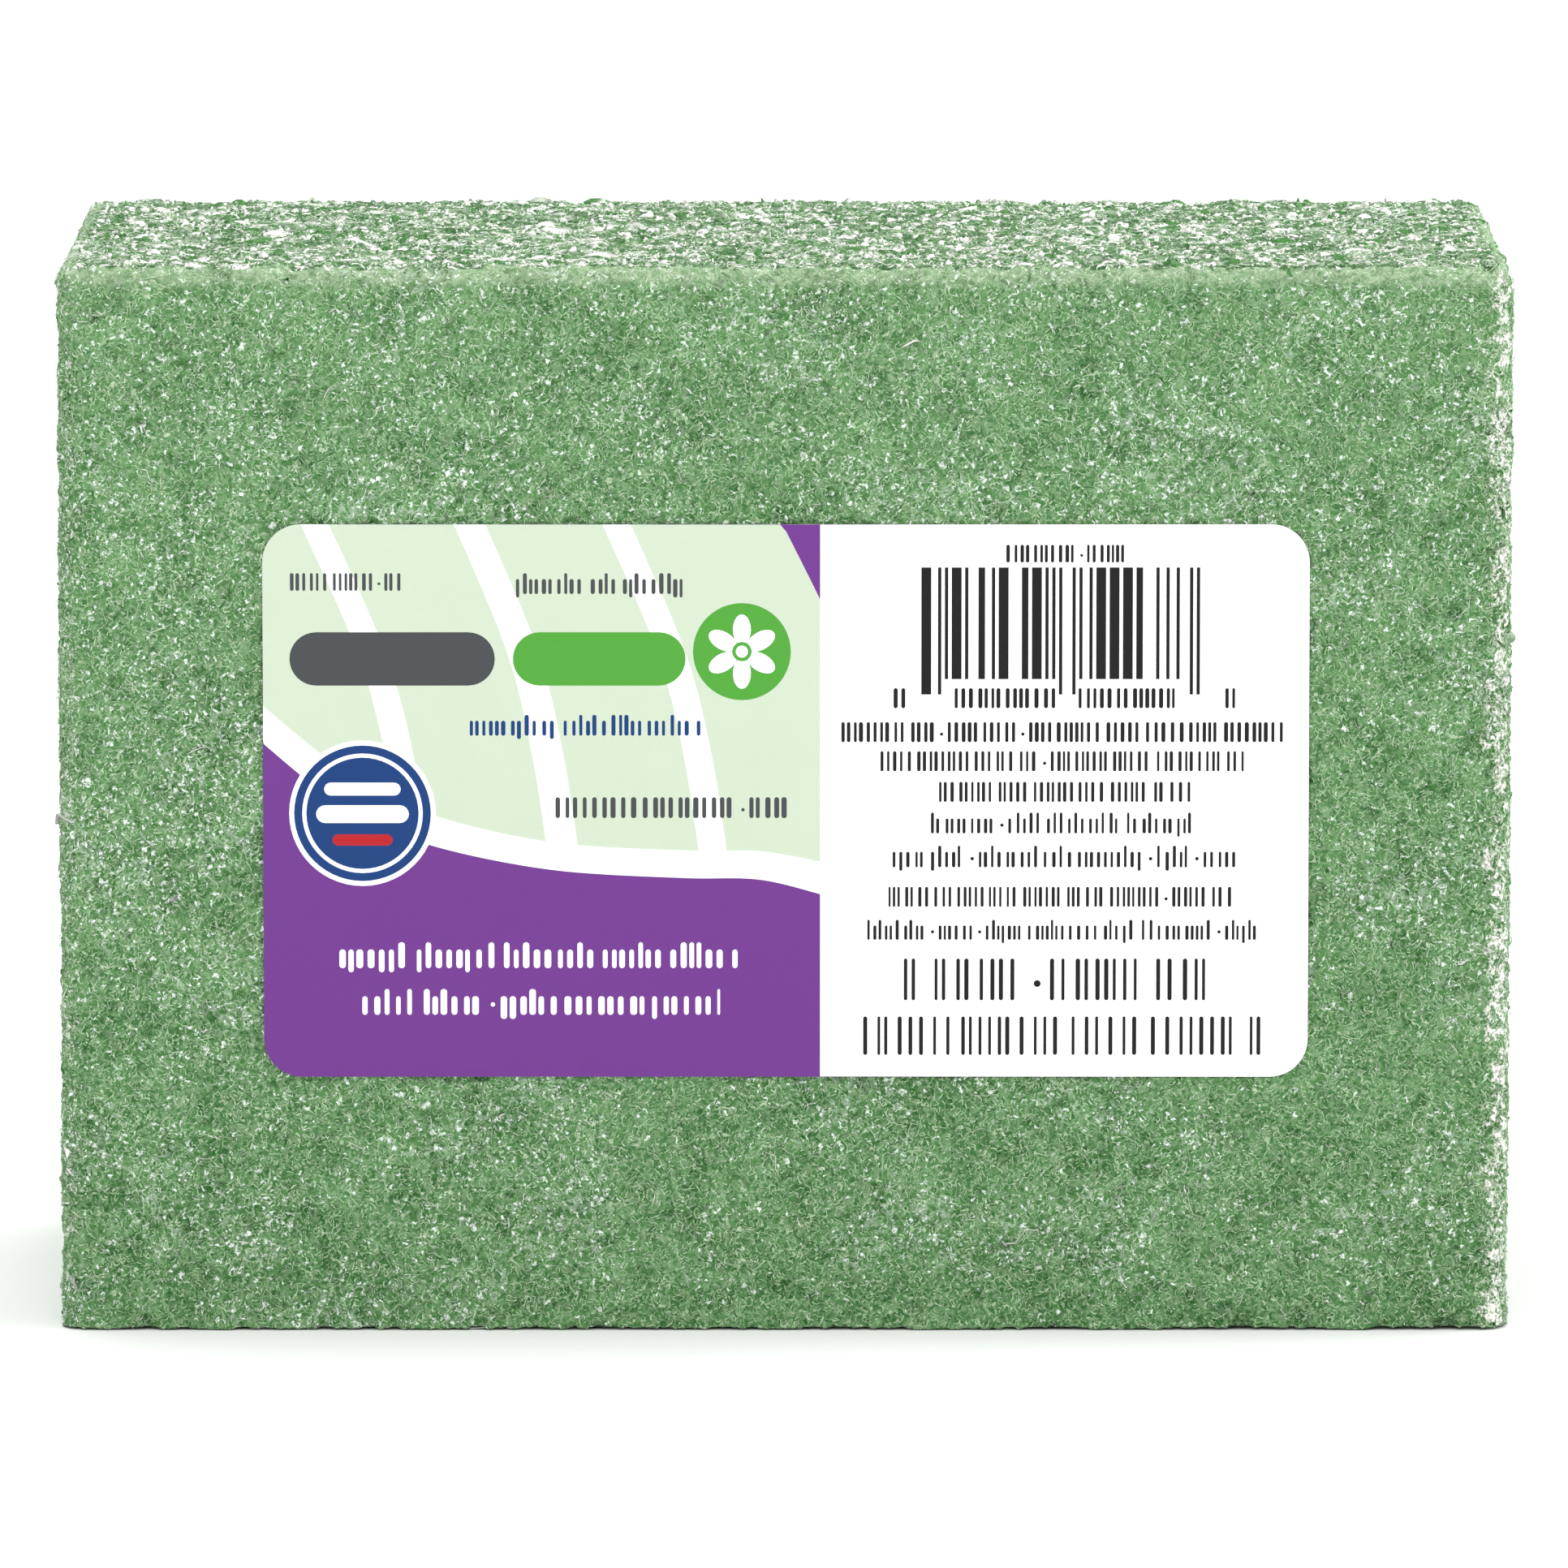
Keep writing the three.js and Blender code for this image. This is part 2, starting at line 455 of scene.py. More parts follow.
# ---------------------------------------------------------------------------
# the printed label: one closed sheet whose front is cut along every print edge
# ---------------------------------------------------------------------------

def px(x, y):
    """Label drawing units (18.07 to a millimetre, y down) to millimetres from its middle."""
    return ((x - 969.0) / 18.07, (985.0 - y) / 18.07)


def rrect(x0, y0, x1, y1, r, seg=6):
    pts = []
    r = min(r, (x1 - x0) / 2 - 1e-3, (y1 - y0) / 2 - 1e-3)
    for cx, cy, a0 in ((x1 - r, y0 + r, -90), (x1 - r, y1 - r, 0), (x0 + r, y1 - r, 90), (x0 + r, y0 + r, 180)):
        for k in range(seg + 1):
            a = math.radians(a0 + 90 * k / seg)
            pts.append((cx + r * math.cos(a), cy + r * math.sin(a)))
    return pts


def ellipse(cx, cy, a, b, turn=0.0, n=28):
    t = math.radians(turn)
    out = []
    for k in range(n):
        q = 2 * math.pi * k / n
        x, y = a * math.cos(q), b * math.sin(q)
        out.append((cx + x * math.cos(t) - y * math.sin(t), cy + x * math.sin(t) + y * math.cos(t)))
    return out


def curve(points, n=14):
    """A smooth line through the points."""
    P = [points[0]] + list(points) + [points[-1]]
    out = []
    for i in range(1, len(P) - 2):
        p0, p1, p2, p3 = (np.array(P[i + d], float) for d in (-1, 0, 1, 2))
        for k in range(n):
            t = k / n
            out.append(tuple(0.5 * (2 * p1 + (p2 - p0) * t + (2 * p0 - 5 * p1 + 4 * p2 - p3) * t * t
                                    + (3 * p1 - p0 - 3 * p2 + p3) * t ** 3)))
    out.append(tuple(P[-2]))
    return out


X0, X1, Y0, Y1 = 969 - LAB_W / 2 * 18.07, 969 + LAB_W / 2 * 18.07, 985 - LAB_H / 2 * 18.07, 985 + LAB_H / 2 * 18.07
SPLIT = 1011.0
layers = []                                   # (ink, polygon in drawing units), later ones on top


def ink(name, poly):
    layers.append((name, [px(*q) for q in poly]))


def bar_row(name, x0, x1, y0, y1, seed, caps=False, weight=0.5, word=6.0):
    """A row of plain upright strokes in word-like groups. They are no letters of any script."""
    rng = np.random.default_rng(seed)
    h = y1 - y0
    x = x0
    left = rng.integers(2, int(word * 2))
    while x < x1 - 0.1 * h:
        w = h * rng.uniform(0.8, 1.25) * 0.34 * weight
        top = y0 if caps or rng.random() < 0.25 else y0 + 0.28 * h
        low = y1 + 0.16 * h if not caps and top > y0 and rng.random() < 0.12 else y1
        x2 = min(x + w, x1)
        if x2 - x > 0.05 * h:
            ink(name, rrect(x, top, x2, low, min(0.10 * h, w * 0.45), 2))
        x = x2 + h * rng.choice([0.10, 0.17, 0.26], p=[0.3, 0.45, 0.25])
        left -= 1
        if left <= 0:
            x += 0.20 * h
            if rng.random() < 0.25 and x < x1 - 0.8 * h:
                ink(name, ellipse(x + 0.08 * h, y0 + 0.6 * h, 0.085 * h, 0.085 * h, n=10))
                x += 0.38 * h
            left = rng.integers(2, int(word * 2))


# left panel: pale green with soft white bands
ink("pale_green", [(X0 - 5, Y0 - 5), (SPLIT, Y0 - 5), (SPLIT, Y1 + 5), (X0 - 5, Y1 + 5)])
for xa, xb, w in ((372, 470, 34), (560, 650, 38), (742, 836, 34)):
    edge = curve([(xa, Y0 - 6), ((xa + xb) / 2 + 22, 800), (xb + 8, 930), (xb + 30, 1075)])
    other = curve([(xa + w, Y0 - 6), ((xa + xb) / 2 + 22 + w, 800), (xb + 8 + w, 930), (xb + 30 + w, 1075)])
    ink("white", edge + other[::-1])
band = curve([(X0 - 6, 862), (400, 928), (470, 974), (560, 1010), (690, 1037), (840, 1046), (935, 1047), (SPLIT, 1060)])
ink("white", band + [(SPLIT, Y1 + 6), (X0 - 6, Y1 + 6)])
wave = curve([(X0 - 6, 908), (400, 974), (470, 1016), (560, 1047), (690, 1071), (840, 1080), (935, 1082), (SPLIT, 1100)])
ink("violet", wave + [(SPLIT, Y1 + 6), (X0 - 6, Y1 + 6)])
ink("violet", [(962, Y0 - 6), (SPLIT, Y0 - 6), (SPLIT, 736)])

# headline: two plain pills
ink("grey", rrect(360, 776, 612, 842, 33, 8))
ink("green", rrect(634, 776, 846, 842, 33, 8))
bar_row("grey", 361, 498, 703, 725, 1, caps=True)
bar_row("grey", 638, 846, 703, 729, 2)
# a plain round daisy
ink("green", ellipse(915, 800, 60, 60, n=48))
for k in range(6):
    a = math.radians(60 * k + 30)
    ink("white", ellipse(915 + 27 * math.cos(a), 800 + 27 * math.sin(a), 19, 11, 60 * k + 30, 20))
ink("green", ellipse(915, 800, 12, 12, n=20))
ink("white", ellipse(915, 800, 7.5, 7.5, n=16))
bar_row("blue", 581, 866, 878, 904, 3)
# a plain round seal
ink("white", ellipse(449, 1000, 90, 90, n=56))
ink("blue", ellipse(449, 1000, 84, 84, n=56))
ink("white", ellipse(449, 1000, 74, 74, n=52))
ink("blue", ellipse(449, 1000, 69, 69, n=52))
ink("white", rrect(402, 962, 496, 978, 8, 4))
ink("white", rrect(392, 990, 506, 1012, 11, 4))
ink("red", rrect(412, 1026, 486, 1040, 7, 4))
bar_row("grey", 686, 972, 980, 1006, 4, caps=True, weight=0.62)
bar_row("white", 420, 916, 1160, 1192, 5, weight=0.62, word=5)
bar_row("white", 448, 888, 1218, 1250, 6, weight=0.62, word=5)

# right panel: a stripe block that encodes nothing, and plain rows
bar_row("black", 1239, 1384, 668, 690, 7, caps=True)
rng = np.random.default_rng(77)
x = 1135.0
k = 0
while x < 1486:
    w = float(rng.choice([4.2, 4.2, 8.2, 12.2, 16.2], p=[0.42, 0.12, 0.24, 0.14, 0.08]))
    guard = x < 1162 or x > 1460 or abs(x - 1312) < 9
    if x + w <= 1490:
        ink("black", [(x, 696), (x + w, 696), (x + w, 853 if guard else 834), (x, 853 if guard else 834)])
    x += w + float(rng.choice([4.2, 8.2, 12.2, 16.2], p=[0.45, 0.3, 0.17, 0.08]))
bar_row("black", 1101, 1116, 845, 870, 8, caps=True)
bar_row("black", 1176, 1302, 845, 870, 9, caps=True, word=20)
bar_row("black", 1328, 1446, 845, 870, 10, caps=True, word=20)
bar_row("black", 1508, 1522, 845, 870, 11, caps=True)
rows = ((1037, 1587, 887, 912, True, 0.5), (1085, 1535, 923, 948, True, 0.42), (1157, 1466, 961, 986, True, 0.42),
        (1147, 1476, 999, 1025, False, 0.4), (1100, 1521, 1040, 1067, False, 0.4), (1095, 1525, 1091, 1116, True, 0.4),
        (1069, 1552, 1132, 1157, False, 0.4), (1114, 1507, 1180, 1232, True, 0.26), (1064, 1558, 1252, 1300, True, 0.26))
for m, (a, b, c, d, caps, wt) in enumerate(rows):
    bar_row("black", a, b, c, d, 20 + m, caps=caps, weight=wt)


def inside(poly, pts):
    """Which points lie in the polygon."""
    P = np.asarray(poly)
    x, y = pts[:, 0], pts[:, 1]
    res = np.zeros(len(pts), bool)
    for a, b in zip(P, np.roll(P, -1, axis=0)):
        cross = (a[1] > y) != (b[1] > y)
        with np.errstate(divide="ignore", invalid="ignore"):
            xi = (b[0] - a[0]) * (y - a[1]) / (b[1] - a[1]) + a[0]
        res ^= cross & (x < xi)
    return res


def build_label():
    outline = [(x / 18.07, y / 18.07) for x, y in
               rrect(-LAB_W / 2 * 18.07, -LAB_H / 2 * 18.07, LAB_W / 2 * 18.07, LAB_H / 2 * 18.07, LAB_R * 18.07, 12)]
    verts, edges = [], []

    def ring(poly):
        s = len(verts)
        verts.extend(poly)
        edges.extend((s + k, s + (k + 1) % len(poly)) for k in range(len(poly)))

    ring(outline)
    lim = lambda q: (min(max(q[0], -LAB_W / 2 + 0.02), LAB_W / 2 - 0.02), min(max(q[1], -LAB_H / 2 + 0.02), LAB_H / 2 - 0.02))
    for _, poly in layers:
        ring([lim(q) for q in poly])
    step = 0.9
    gx = np.arange(-LAB_W / 2 + step * 0.5, LAB_W / 2, step)
    gz = np.arange(-LAB_H / 2 + step * 0.5, LAB_H / 2, step)
    G = np.stack(np.meshgrid(gx, gz), -1).reshape(-1, 2)
    G = G[inside([(x * 0.99, y * 0.985) for x, y in outline], G)]
    verts.extend(map(tuple, G))
    out = delaunay_2d_cdt([Vector(v) for v in verts], edges, [], 0, 1e-5, False)
    v2 = np.array([tuple(v) for v in out[0]])
    tri = np.array([t for t in out[2] if len(t) == 3])
    a, b, c = v2[tri[:, 0]], v2[tri[:, 1]], v2[tri[:, 2]]
    area = (b[:, 0] - a[:, 0]) * (c[:, 1] - a[:, 1]) - (b[:, 1] - a[:, 1]) * (c[:, 0] - a[:, 0])
    tri[area < 0] = tri[area < 0][:, ::-1]
    mid = v2[tri].mean(1)
    ok = inside([(x * 1.0005, y * 1.0005) for x, y in outline], mid) & (np.abs(area) > 1e-9)
    tri, mid = tri[ok], mid[ok]
    names = ["white", "pale_green", "violet", "grey", "green", "blue", "red", "black"]
    slot = np.zeros(len(tri), int)
    for name, poly in layers:
        slot[inside(poly, mid)] = names.index(name)
    # sheet: front, back and rim
    n = len(v2)
    p3 = np.stack([v2[:, 0] + LAB_C[0], np.zeros(n), v2[:, 1] + LAB_C[1]], 1).astype(np.float32)
    lift = (value_noise(p3, 2.6, 51, 1)[:, 0] - 0.5) * 0.045 + (value_noise(p3, 1.1, 52, 1)[:, 0] - 0.5) * 0.016
    front, back = p3.copy(), p3.copy()
    front[:, 1] = flo.y / MM + 0.03 - lift
    back[:, 1] = fhi.y / MM
    V = np.concatenate([front, back])
    F = np.concatenate([tri, tri[:, ::-1] + n])
    S = np.concatenate([slot, np.zeros(len(tri), int)])
    e = np.concatenate([tri[:, [0, 1]], tri[:, [1, 2]], tri[:, [2, 0]]])
    und = np.sort(e, 1)
    _, first, count = np.unique(und, axis=0, return_index=True, return_counts=True)
    rim = e[first[count == 1]]
    R1 = np.stack([rim[:, 1], rim[:, 0], rim[:, 0] + n], 1)
    R2 = np.stack([rim[:, 1], rim[:, 0] + n, rim[:, 1] + n], 1)
    F = np.concatenate([F, R1, R2])
    S = np.concatenate([S, np.zeros(len(R1) * 2, int)])
    me = mesh_from("label_printed_face", V * MM, F)
    me.polygons.foreach_set("material_index", S.astype(np.int32))
    return me, names


label_mesh, inks = build_label()
label_mesh.set_sharp_from_angle(angle=math.radians(40))
label = add_object("label_printed_face", label_mesh)


# ---------------------------------------------------------------------------
# materials
# ---------------------------------------------------------------------------

def lin(r, g, b):
    f = lambda c: ((c / 255 + 0.055) / 1.055) ** 2.4 if c > 10 else c / 255 / 12.92
    return (f(r), f(g), f(b), 1.0)


class Mat:
    """A material with short names for the nodes it needs."""

    def __init__(self, name):
        self.m = bpy.data.materials.new(name)
        self.m.use_nodes = True
        self.t = self.m.node_tree
        self.n, self.l = self.t.nodes, self.t.links
        self.bsdf = self.n["Principled BSDF"]

    def put(self, kind, inputs=None, **props):
        nd = self.n.new(kind)
        for k, v in props.items():
            setattr(nd, k, v)
        for k, v in (inputs or {}).items():
            if isinstance(v, bpy.types.NodeSocket):
                self.l.new(v, nd.inputs[k])
            else:
                nd.inputs[k].default_value = v
        return nd

    def attr(self, name, out="Fac"):
        return self.put("ShaderNodeAttribute", attribute_name=name).outputs[out]

    def math(self, op, a, b=0.0, c=None, clamp=False):
        nd = self.n.new("ShaderNodeMath")
        nd.operation, nd.use_clamp = op, clamp
        for k, v in enumerate((a, b) if c is None else (a, b, c)):
            if isinstance(v, bpy.types.NodeSocket):
                self.l.new(v, nd.inputs[k])
            else:
                nd.inputs[k].default_value = v
        return nd.outputs[0]

    def vmath(self, op, a, b=None, scale=None):
        nd = self.n.new("ShaderNodeVectorMath")
        nd.operation = op
        for k, v in ((0, a), (1, b)):
            if v is None:
                continue
            if isinstance(v, bpy.types.NodeSocket):
                self.l.new(v, nd.inputs[k])
            else:
                nd.inputs[k].default_value = v
        if scale is not None:
            nd.inputs["Scale"].default_value = scale
        return nd.outputs[0]

    def noise(self, vec, scale, detail=2.0, rough=0.5, out="Fac"):
        return self.put("ShaderNodeTexNoise", {"Vector": vec, "Scale": scale, "Detail": detail, "Roughness": rough}).outputs[out]

    def voronoi(self, vec, scale, feature, out):
        return self.put("ShaderNodeTexVoronoi", {"Vector": vec, "Scale": scale}, feature=feature).outputs[out]

    def strokes(self, vec, shift, scale, half, bend):
        """One short bent stroke in every cell: a curved film of random tilt, cut by the surface."""
        v = self.vmath("ADD", vec, shift)
        vor = self.put("ShaderNodeTexVoronoi", {"Vector": v, "Scale": scale}, feature="F1")
        d = self.vmath("SUBTRACT", v, vor.outputs["Position"])
        tilt = self.vmath("NORMALIZE", self.vmath("SUBTRACT", vor.outputs["Color"], (0.5, 0.5, 0.5)))
        rnd = self.put("ShaderNodeSeparateColor", {"Color": vor.outputs["Color"]}).outputs
        curl = self.math("MULTIPLY_ADD", self.math("FRACT", self.math("MULTIPLY", rnd[0], 47.3)), 2 * bend, -bend)
        power = self.math("FRACT", self.math("MULTIPLY", rnd[1], 61.7))
        off = self.math("MULTIPLY_ADD", self.dot(d, d), curl, self.dot(d, tilt))
        near = self.ramp(vor.outputs["Distance"], 0.62, 0.42)
        line = self.math("MULTIPLY", self.ramp(self.math("ABSOLUTE", off), half, half * 0.35), near)
        # a painted shade line runs beside the stroke
        shade = self.math("ABSOLUTE", self.math("SUBTRACT", off, 2.0 * half))
        shade = self.math("MULTIPLY", self.ramp(shade, half, half * 0.35), near)
        return line, shade, power

    def dot(self, a, b):
        nd = self.n.new("ShaderNodeVectorMath")
        nd.operation = "DOT_PRODUCT"
        self.l.new(a, nd.inputs[0])
        self.l.new(b, nd.inputs[1])
        return nd.outputs["Value"]

    def ramp(self, fac, a, b, lo=0.0, hi=1.0):
        nd = self.n.new("ShaderNodeMapRange")
        nd.interpolation_type = "SMOOTHSTEP"
        self.l.new(fac, nd.inputs["Value"])
        for k, v in (("From Min", a), ("From Max", b), ("To Min", lo), ("To Max", hi)):
            nd.inputs[k].default_value = v
        return nd.outputs[0]

    def mix(self, fac, a, b):
        nd = self.n.new("ShaderNodeMix")
        nd.data_type = "RGBA"
        for k, v in ((0, fac), (6, a), (7, b)):
            if isinstance(v, bpy.types.NodeSocket):
                self.l.new(v, nd.inputs[k])
            else:
                nd.inputs[k].default_value = v
        return nd.outputs[2]

    def set(self, **sockets):
        for k, v in sockets.items():
            k = k.replace("_", " ")
            if isinstance(v, bpy.types.NodeSocket):
                self.l.new(v, self.bsdf.inputs[k])
            else:
                self.bsdf.inputs[k].default_value = v

    def bump(self, height, distance, strength=1.0):
        nd = self.put("ShaderNodeBump", {"Height": height, "Strength": strength, "Distance": distance})
        self.l.new(nd.outputs[0], self.bsdf.inputs["Normal"])


C_DARK = lin(22, 80, 22)
C_SOFT = lin(104, 153, 94)
C_LINE = lin(196, 216, 184)
C_PATCH = lin(188, 204, 190)
C_PAINTED_GLINT = lin(236, 243, 239)
C_BROW = lin(188, 206, 176)
C_PAINTED_SHEEN_AND_WEAR = lin(255, 247, 245)


def foam_material():
    m = Mat("cut_green_foam")
    p = m.attr("rest", "Vector")
    top_face, edge, pit, clump = (m.attr(k) for k in ("top_face", "edge", "pit", "clump"))
    xyz = m.put("ShaderNodeSeparateXYZ", {"Vector": p}).outputs
    high = xyz["Z"]
    rnd_a, rnd_b = m.attr("rnd_a"), m.attr("rnd_b")
    warp = m.vmath("SUBTRACT", m.noise(p, 1.9, 1.0, 0.6, "Color"), (0.5, 0.5, 0.5))
    pw = m.vmath("ADD", p, m.vmath("SCALE", warp, scale=0.8))
    small = m.put("ShaderNodeTexVoronoi", {"Vector": pw, "Scale": 2.7}, feature="F1").outputs      # cells of about 0.37 mm
    rnd_s = m.put("ShaderNodeSeparateColor", {"Color": small["Color"]}).outputs
    rnd_g = m.put("ShaderNodeSeparateColor", {"Color": m.voronoi(pw, 4.6, "F1", "Color")}).outputs
    broad = m.noise(p, 0.17, 2.0, 0.6)
    fade = m.noise(p, 1.7, 2.0, 0.6)
    w2 = m.vmath("ADD", p, m.vmath("SCALE", warp, scale=0.35))
    l1, d1, k1 = m.strokes(w2, (0.0, 0.0, 0.0), 3.0, 0.040, 2.0)
    l2, d2, k2 = m.strokes(w2, (17.3, 4.9, 31.1), 2.3, 0.040, 1.5)
    l3, d3, k3 = m.strokes(w2, (5.7, 41.3, 12.9), 4.2, 0.034, 2.8)
    l4, d4, k4 = m.strokes(w2, (53.1, 7.7, 3.3), 0.9, 0.034, 0.6)
    speck = m.noise(p, 5.0, 2.0, 0.7)

    # body colour: darker in small specks, mottled by small cells and over broad patches; painted shade makes it darker
    # in the pits, on the top face and towards the bottom
    tone = m.math("MULTIPLY_ADD", rnd_s[0], 0.16, m.math("MULTIPLY_ADD", rnd_b, 0.05, m.math("MULTIPLY", rnd_a, 0.03)))
    tone = m.math("ADD", tone, m.math("MULTIPLY_ADD", broad, 0.40, 0.05))
    tone = m.math("ADD", tone, m.math("MULTIPLY_ADD", speck, 0.9, -0.45))
    # painted shade: darker on the top face, in the pits and towards the bottom
    tone = m.math("SUBTRACT", tone, m.math("MULTIPLY", top_face, 0.20))
    tone = m.math("SUBTRACT", tone, m.math("MULTIPLY", pit, 0.28))
    tone = m.math("ADD", tone, m.math("MULTIPLY_ADD", high, 0.0016, -0.06))
    col = m.mix(m.ramp(tone, -0.30, 0.84), C_DARK, C_SOFT)
    # each stroke is a pale cut film with a painted shade line beside it, and dark specks are painted shade in small
    # holes
    stroke_shade = m.math("MAXIMUM", m.math("MULTIPLY", d1, m.ramp(k1, 0.3, 0.9)), m.math("MULTIPLY", d2, m.ramp(k2, 0.3, 0.9)))
    stroke_shade = m.math("MAXIMUM", stroke_shade, m.math("MULTIPLY", m.ramp(speck, 0.36, 0.28), 0.8))
    col = m.mix(m.math("MULTIPLY", stroke_shade, 0.7), col, C_DARK)
    line = m.math("MULTIPLY", m.ramp(small["Distance"], 0.50, 0.72), 0.25)
    for l, k, lo in ((l1, k1, 0.15), (l2, k2, 0.1), (l3, k3, 0.1), (l4, k4, 0.2)):
        line = m.math("MAXIMUM", line, m.math("MULTIPLY", l, m.ramp(k, 0.1, 1.0, lo, 1.0)))
    col = m.mix(m.math("MULTIPLY", line, m.ramp(fade, 0.3, 0.7, 0.62, 0.84)), col, C_LINE)
    # thin grey-green veils of membrane, then small painted white glints, both in drifts, with more glints towards the
    # top and the left
    veil = m.math("MULTIPLY", m.ramp(m.math("MULTIPLY", rnd_s[2], clump), 0.50, 0.56), m.ramp(fade, 0.44, 0.56))
    col = m.mix(m.math("MULTIPLY", veil, 0.32), col, C_PATCH)
    glint_share = m.math("MULTIPLY_ADD", m.ramp(clump, 0.38, 0.68), 0.075, m.math("MULTIPLY_ADD", high, 0.0006, 0.006))
    glint_share = m.math("MULTIPLY_ADD", xyz["X"], -0.0003, glint_share)
    painted_glint = m.math("MULTIPLY", m.math("GREATER_THAN", rnd_g[1], m.math("SUBTRACT", 1.0, glint_share)), m.ramp(speck, 0.34, 0.60))
    col = m.mix(m.math("MULTIPLY", painted_glint, 0.88), col, C_PAINTED_GLINT)
    # the top cut: a paler band along the rounded top edge, then white painted sheen in patches over painted shade in
    # the open pits between them
    brow = m.math("MULTIPLY", m.ramp(high, float(BH[2]) - 1.9, float(BH[2]) - 0.7), m.math("SUBTRACT", 1.0, top_face))
    col = m.mix(m.math("MULTIPLY", brow, m.ramp(fade, 0.3, 0.7, 0.15, 0.5)), col, C_BROW)
    top_patches = m.math("MULTIPLY_ADD", rnd_a, 0.26, m.math("MULTIPLY_ADD", rnd_b, 0.50, m.math("MULTIPLY_ADD", speck, 1.1, -0.55)))
    top_patches = m.math("MULTIPLY_ADD", rnd_s[0], 0.14, top_patches)
    painted_top_sheen = m.ramp(m.math("MULTIPLY_ADD", top_face, 0.45, top_patches), 1.02, 1.16)
    col = m.mix(m.math("MULTIPLY", painted_top_sheen, 0.85), col, C_PAINTED_SHEEN_AND_WEAR)
    painted_pit_shade = m.ramp(m.math("MULTIPLY_ADD", top_face, -0.5, top_patches), -0.03, -0.11)
    col = m.mix(m.math("MULTIPLY", painted_pit_shade, 0.62), col, C_DARK)
    # the rounded edges: a white painted highlight along the front right edge and onto the right face, with frayed wear
    # along the other vertical edges
    edge_noise = m.math("MULTIPLY_ADD", rnd_s[0], 0.45, m.math("MULTIPLY_ADD", speck, 1.2, m.math("MULTIPLY_ADD", rnd_b, 0.25, -0.6)))
    edge_highlight_and_wear = m.ramp(m.math("MULTIPLY_ADD", edge, 0.60, edge_noise), 0.70, 1.16)
    col = m.mix(m.math("MULTIPLY", edge_highlight_and_wear, 0.95), col, C_PAINTED_SHEEN_AND_WEAR)
    m.set(Base_Color=col)
    m.set(Roughness=m.math("SUBTRACT", m.math("MULTIPLY_ADD", fade, 0.3, 0.36), m.math("MULTIPLY", painted_glint, 0.2)))
    cup = m.put("ShaderNodeTexVoronoi", {"Vector": p, "Scale": 2.7}, feature="F1").outputs["Distance"]
    m.bump(m.math("MULTIPLY_ADD", speck, 1.2, cup), 0.00012, 0.8)
    m.set(Specular_IOR_Level=0.15)
    return m.m


def wall_material():
    m = Mat("cut_cell_wall")
    tone = m.attr("tone")
    p = m.put("ShaderNodeTexCoord").outputs["Object"]
    n = m.noise(p, 2600.0, 2.0, 0.6)
    k = m.math("MULTIPLY_ADD", n, 0.5, m.math("MULTIPLY_ADD", m.math("POWER", tone, 2.5), 1.3, -0.25), clamp=True)
    col = m.mix(k, lin(66, 130, 56), lin(246, 246, 240))
    m.set(Base_Color=col, Roughness=m.math("MULTIPLY_ADD", n, 0.3, 0.2), Specular_IOR_Level=0.3)
    m.bump(n, 0.00002, 0.5)
    return m.m


def strut_material():
    m = Mat("cell_strut")
    tone = m.attr("tone")
    p = m.put("ShaderNodeTexCoord").outputs["Object"]
    n = m.noise(p, 2600.0, 2.0, 0.6)
    k = m.math("MULTIPLY_ADD", n, 0.4, m.math("MULTIPLY", m.math("POWER", tone, 2.0), 0.7), clamp=True)
    col = m.mix(k, lin(96, 156, 84), lin(226, 236, 216))
    m.set(Base_Color=col, Roughness=m.math("MULTIPLY_ADD", n, 0.3, 0.25), Specular_IOR_Level=0.3)
    m.bump(n, 0.00002, 0.5)
    return m.m


def flake_material():
    m = Mat("cell_membrane_flake")
    tone = m.attr("tone")
    p = m.put("ShaderNodeTexCoord").outputs["Object"]
    n = m.noise(p, 2200.0, 2.0, 0.6)
    # the paler flakes are white in colour as well as glossy: painted glints on real bits of membrane
    k = m.math("MULTIPLY_ADD", n, 0.3, m.math("MULTIPLY_ADD", tone, 1.3, -0.35), clamp=True)
    col = m.mix(k, lin(150, 190, 142), lin(246, 248, 246))
    m.set(Base_Color=col, Roughness=m.math("MULTIPLY_ADD", n, 0.25, 0.12), Specular_IOR_Level=0.6)
    m.bump(n, 0.00002, 0.4)
    return m.m


def print_material(name, rgb, rough):
    m = Mat("print_" + name)
    p = m.put("ShaderNodeTexCoord").outputs["Object"]
    grain = m.noise(p, 3200.0, 3.0, 0.6)
    cloud = m.noise(p, 240.0, 2.0, 0.5)
    a = lin(*rgb)
    b = tuple(min(1.0, c * 0.93 + 0.004) for c in a[:3]) + (1.0,)
    k = m.math("MULTIPLY_ADD", grain, 0.5, m.math("MULTIPLY", cloud, 0.6), clamp=True)
    m.set(Base_Color=m.mix(k, a, b), Roughness=m.math("MULTIPLY_ADD", grain, 0.16, rough), Specular_IOR_Level=0.2)
    m.bump(m.math("MULTIPLY_ADD", cloud, 0.5, grain), 0.000008, 0.6)
    return m.m


def adhesive_material():
    m = Mat("label_adhesive_film")
    p = m.put("ShaderNodeTexCoord").outputs["Object"]
    n = m.noise(p, 900.0, 3.0, 0.6)
    m.set(Base_Color=m.mix(n, lin(222, 224, 206), lin(238, 240, 230)), Roughness=m.math("MULTIPLY_ADD", n, 0.2, 0.15))
    m.bump(n, 0.00001, 0.5)
    return m.m


